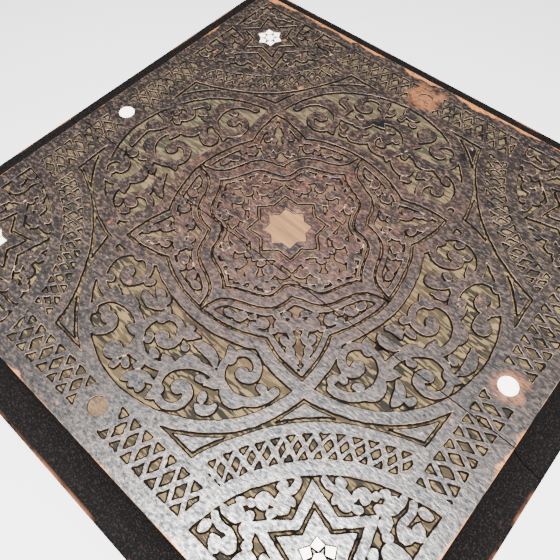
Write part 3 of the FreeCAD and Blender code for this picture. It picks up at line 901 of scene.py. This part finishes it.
def carved_face():
    """Tops of the straps: stained, rubbed bare at the rim and round two discs, glossy in the grain."""
    look = Look("stained_face")
    color = stain_and_sheen(look)
    out = look.outward()
    _, y, _ = look.axes()
    rubbed = look.noise(40, 6)
    side = look.span(out, HALF * 0.972, HALF * 1.0, 0.72, 0.56)
    far = look.span(y, HALF * 0.965, HALF * 1.0, 0.72, 0.36)
    worn = look.math("SUBTRACT", rubbed, look.math("MINIMUM", side, far))
    color = look.blend(look.span(worn, 0.0, 0.06, 0.0, 0.9), color, (0.30, 0.105, 0.028))
    halo = look.near((0, DISC_AT * HALF, FACE), 0.008, 0.018, uneven=0.03)
    halo = look.math("MAXIMUM", halo, look.near((DISC_AT * HALF, 0, FACE), 0.006, 0.013, uneven=0.02))
    color = look.blend(look.math("MULTIPLY", halo, 0.55), color, (0.22, 0.075, 0.024))
    spots = look.span(look.noise(110, 4), 0.69, 0.75, 0.0, 0.6)
    color = look.blend(spots, color, (0.26, 0.115, 0.045))
    grit = look.noise(560, 8, (0.6, 1.1, 1), 0.3)
    color = look.blend(look.span(grit, 0.50, 0.66, 0.0, 0.40), color, (0.12, 0.080, 0.062))
    color = look.blend(look.span(grit, 0.50, 0.36, 0.0, 0.6), color, (0.002, 0.0015, 0.0015))
    tar = look.near((-0.05 * HALF, 0.66 * HALF, FACE), 0.004, 0.012, uneven=0.035)
    tar = look.math("MAXIMUM", tar, look.near((0.31 * HALF, 0.73 * HALF, FACE), 0.003, 0.010, uneven=0.03))
    color = look.blend(tar, color, (0.004, 0.004, 0.005))
    rough = look.span(grit, 0.35, 0.65, 0.44, 0.26)
    rough = look.math("SUBTRACT", rough, look.math("MULTIPLY", tar, 0.25))
    look.bump(look.noise(160, 3, (0.4, 1.6, 1)), 0.0002, 0.12)
    look.bump(grit, 0.00024, 1.0)
    return look.done(color, rough, specular=look.span(grit, 0.30, 0.65, 0.17, 1.0))


def ground_wood():
    """The cut-away ground: bare-looking tan wood with short dark scratches along the grain, darkened towards
    the far corner as painted shade.
    """
    look = Look("scratched_ground")
    cloud = look.span(look.noise(45, 4), 0.3, 0.7)
    tan = look.blend(cloud, (0.058, 0.040, 0.019), (0.115, 0.080, 0.038))
    stroke = look.noise(1, 3, (95, 430, 430), 0.6)
    strokes = look.span(stroke, 0.46, 0.50)
    patches = look.span(look.noise(28, 3), 0.35, 0.55, 0.60, 1.0)
    color = look.blend(look.math("MULTIPLY", strokes, patches), tan, (0.009, 0.0085, 0.0065))
    middle = look.near((0, 0, FACE), 0.05, 0.12, uneven=0.05)
    color = look.blend(look.math("MULTIPLY", middle, 0.65), color, (0.060, 0.030, 0.019))
    x, y, _ = look.axes()
    # painted shade: the ground grows darker towards the far corner (-x, +y)
    dirt_and_shade = look.span(look.math("SUBTRACT", y, x), -0.10, 0.30, 0.0, 0.55)
    color = look.blend(dirt_and_shade, color, (0.040, 0.035, 0.024))
    look.bump(stroke, 0.0006, 0.7)
    return look.done(color, look.span(cloud, 0, 1, 0.75, 0.9), specular=0.08)


def dark_line():
    """Stain and grime gathered where the ground meets a wall, deepened into painted shade along the wall's
    foot.
    """
    look = Look("stain_and_shade_in_corners")
    dirt_and_shade = look.span(look.noise(300, 3), 0.35, 0.65)
    # near-black foot strip: the wood's own dark staining and a painted shade in the corner
    color = look.blend(dirt_and_shade, (0.001, 0.0008, 0.0006), (0.007, 0.005, 0.0034))
    look.bump(dirt_and_shade, 0.0002, 0.4)
    return look.done(color, 0.9, specular=0.03)


def wall_wood():
    look = Look("cut_wall")
    # near-black walls: their own dark staining, darkened beyond the tops as painted shade in the cuts
    dirt_and_shade = look.span(look.noise(200, 3), 0.35, 0.65)
    color = look.blend(dirt_and_shade, (0.0015, 0.001, 0.0008), (0.010, 0.006, 0.0045))
    look.bump(dirt_and_shade, 0.0002, 0.4)
    return look.done(color, 0.8, specular=0.05)


def worn_and_highlit_edge():
    """The narrow shoulder of every strap, rubbed through the dark staining in places; the pale tan of the
    rubbed places is partly a painted highlight.
    """
    look = Look("worn_and_highlit_edge")
    color = stain_and_sheen(look)
    # pale tan on the shoulders: wear, and partly a painted highlight along the strap edges
    rubbed = look.span(look.noise(70, 4), 0.42, 0.58, 0.0, 0.75)
    color = look.blend(rubbed, color, (0.26, 0.165, 0.095))
    out = look.outward()
    _, y, _ = look.axes()
    rubbed_far = look.span(y, HALF * 0.99, HALF * 1.0, 0.50, 0.36)
    amount = look.span(look.math("SUBTRACT", look.noise(40, 5), rubbed_far), 0.0, 0.08)
    arris = look.math("MULTIPLY", look.span(out, HALF * 0.998, HALF * 0.9995), amount)
    color = look.blend(arris, color, (0.42, 0.15, 0.040))
    look.bump(look.noise(900, 2), 0.0001, 0.4)
    return look.done(color, 0.5)


def cove_wood():
    """The black moulding, rubbed red brown along its lower edge."""
    look = Look("black_cove")
    grit = look.noise(900, 4)
    color = look.blend(look.span(grit, 0.5, 0.75, 0.0, 0.6), (0.002, 0.0017, 0.0017), (0.020, 0.016, 0.0145))
    out = look.outward()
    rubbed = look.span(look.noise(38, 5), 0.48, 0.62)
    rim = look.math("MULTIPLY", look.span(out, OUTER - 0.0025, OUTER - 0.0004), rubbed)
    color = look.blend(rim, color, (0.11, 0.042, 0.021))
    look.bump(look.noise(60, 3), 0.001, 0.3)
    look.bump(grit, 0.0003, 0.5)
    return look.done(color, look.span(look.noise(80, 3), 0.3, 0.7, 0.65, 0.85), specular=0.04)


def bare_wood(name="bare_wood", pale=(0.165, 0.080, 0.030), dark=(0.095, 0.042, 0.015)):
    look = Look(name)
    ring = look.noise(1, 3, (25, 300, 300), 0.4)
    color = look.blend(look.span(ring, 0.35, 0.65), pale, dark)
    pore = look.span(look.noise(1, 2, (300, 2600, 2600)), 0.60, 0.68, 0.0, 0.8)
    color = look.blend(pore, color, (0.10, 0.055, 0.03))
    look.bump(ring, 0.0004, 0.3)
    return look.done(color, 0.7, specular=0.3)


def empty_well():
    """Bottom of a disc recess whose inlay is lost: old glue, stained orange at one side of the top."""
    look = Look("empty_well")
    _, y, _ = look.axes()
    far = look.span(y, -0.05, 0.05)
    color = look.blend(far, (0.075, 0.045, 0.020), (0.13, 0.045, 0.013))
    crust = look.span(look.noise(400, 4, (0.5, 1.5, 1), 1.5), 0.48, 0.60)
    color = look.blend(crust, color, (0.035, 0.020, 0.010))
    look.bump(crust, 0.0004, 0.6)
    return look.done(color, 0.75, specular=0.3)


def bone():
    """Yellowed bone with small pores."""
    look = Look("bone")
    cloud = look.span(look.noise(250, 3), 0.35, 0.7)
    color = look.blend(cloud, (0.92, 0.90, 0.85), (0.82, 0.76, 0.64))
    pore = look.span(look.noise(2200, 2), 0.68, 0.74, 0.0, 0.5)
    color = look.blend(pore, color, (0.45, 0.36, 0.25))
    look.bump(look.noise(700, 3), 0.0001, 0.3)
    return look.done(color, 0.35)


def frame_wood(name="frame_wood", lift=0.0):
    """The stained wood of legs and rails, rubbed red brown here and there."""
    look = Look(name)
    streak = look.span(look.noise(1, 4, (300, 300, 30)), 0.35, 0.65)
    color = look.blend(streak, (0.012, 0.009, 0.008), (0.040 + lift, 0.022 + lift / 2, 0.015))
    rubbed = look.span(look.noise(46, 6), 0.59, 0.68, 0.0, 0.55)
    color = look.blend(rubbed, color, (0.13, 0.055, 0.026))
    look.bump(streak, 0.0003, 0.3)
    look.bump(look.noise(900, 3), 0.0001, 0.4)
    return look.done(color, look.span(look.noise(100, 3), 0.3, 0.7, 0.35, 0.52), coat=0.2)


def iron():
    look = Look("screw_iron")
    rust_wear_and_highlight = look.span(look.noise(300, 4), 0.45, 0.6)
    color = look.blend(rust_wear_and_highlight, (0.10, 0.095, 0.09), (0.16, 0.06, 0.025))
    look.bump(rust_wear_and_highlight, 0.0002, 0.4)
    look.put(look.shader.inputs["Metallic"], look.span(rust_wear_and_highlight, 0, 1, 0.8, 0.1))
    return look.done(color, 0.55)


def pale_floor():
    look = Look("pale_floor")
    cloud = look.span(look.noise(3, 2), 0.3, 0.7)
    color = look.blend(cloud, (0.90, 0.90, 0.90), (0.88, 0.88, 0.88))
    look.put(look.shader.inputs["Emission Color"], (1.0, 1.0, 1.0))
    look.put(look.shader.inputs["Emission Strength"], 0.35)
    return look.done(color, 0.9, specular=0.1)


RAW = bare_wood("raw_underside", (0.28, 0.17, 0.09), (0.17, 0.09, 0.045))
PLANK_LOOKS = (carved_face(), ground_wood(), wall_wood(), dark_line(), worn_and_highlit_edge(),
               bare_wood(), empty_well(), cove_wood(), RAW)
SLOT_LOOKS = {
    "carved_wood": PLANK_LOOKS[TOP],
    "frame_wood": frame_wood(),
    "peg_wood": frame_wood("peg_wood", 0.03),
    "bare_wood": RAW,
    "bone": bone(),
    "screw_iron": iron(),
}


def dress_frame():
    """Gives every CAD node the look of its slot."""
    for name, node in frame["nodes"].items():
        slot = next(s["material_slot"] for s in frame["record"]["subparts"] if s["node"] == name)
        node.data.materials.clear()
        node.data.materials.append(SLOT_LOOKS[slot])


# ------------------------------------------------------------------ stage, light and camera

def build_stage():
    mesh = bpy.data.meshes.new("floor")
    mesh.from_pydata([(-6, -6, 0), (6, -6, 0), (6, 6, 0), (-6, 6, 0)], [], [(0, 1, 2, 3)])
    floor = bpy.data.objects.new("floor", mesh)
    bpy.context.scene.collection.objects.link(floor)
    mesh.materials.append(pale_floor())


def area_light(name, at, aim, size, power, color=(1, 1, 1)):
    light = bpy.data.lights.new(name, "AREA")
    light.shape = "RECTANGLE"
    light.size, light.size_y = size
    light.energy = power
    light.color = color
    thing = bpy.data.objects.new(name, light)
    thing.location = at
    thing.rotation_euler = (Vector(aim) - Vector(at)).to_track_quat("-Z", "Y").to_euler()
    bpy.context.scene.collection.objects.link(thing)


def build_light():
    """A room with a bright ceiling, a dim window light and a lamp whose gloss falls on the near corner."""
    world = bpy.data.worlds.new("studio")
    world.use_nodes = True
    tree = world.node_tree
    background = tree.nodes["Background"]
    split = tree.nodes.new("ShaderNodeSeparateXYZ")
    ramp = tree.nodes.new("ShaderNodeValToRGB")
    coord = tree.nodes.new("ShaderNodeTexCoord")
    tree.links.new(coord.outputs["Generated"], split.inputs[0])
    tree.links.new(split.outputs[2], ramp.inputs[0])
    tree.links.new(ramp.outputs[0], background.inputs[0])
    # pale walls near the horizon, dark upper walls, bright ceiling
    stops = ramp.color_ramp.elements
    stops[0].color = (0.55, 0.55, 0.55, 1)
    stops[1].color = (1, 1, 1, 1)
    for place, level in ((0.22, 0.55), (0.36, 0.04), (0.72, 0.04), (0.88, 0.32)):
        stops.new(place).color = (level, level, level, 1)
    background.inputs[1].default_value = 1.5
    bpy.context.scene.world = world
    area_light("window", (-1.2, -0.9, 1.3), (0, 0, FACE), (0.5, 0.5), 7)
    area_light("overhead", (0.22, -0.30, 1.6), (0.10, -0.12, FACE), (0.6, 0.6), 142)


def build_camera():
    """The viewing angle: over the front right of the top, looking down and across it."""
    data = bpy.data.cameras.new("camera")
    data.lens = 34.8
    data.sensor_width = 36
    camera = bpy.data.objects.new("camera", data)
    data.shift_x = 0.049
    forward = Vector((-0.346, 0.359, -0.867)).normalized()
    right = Vector((0.738, 0.675, -0.015))
    right = (right - forward * right.dot(forward)).normalized()
    up = right.cross(forward)
    rotation = Matrix((right, up, -forward)).transposed()
    place = Vector((0.70 * HALF, -0.92 * HALF, FACE + 1.62 * HALF))
    camera.matrix_world = Matrix.Translation(place) @ rotation.to_4x4()
    data.clip_start = 0.01
    bpy.context.scene.collection.objects.link(camera)
    bpy.context.scene.camera = camera


build_top()
dress_frame()
build_stage()
build_light()
build_camera()
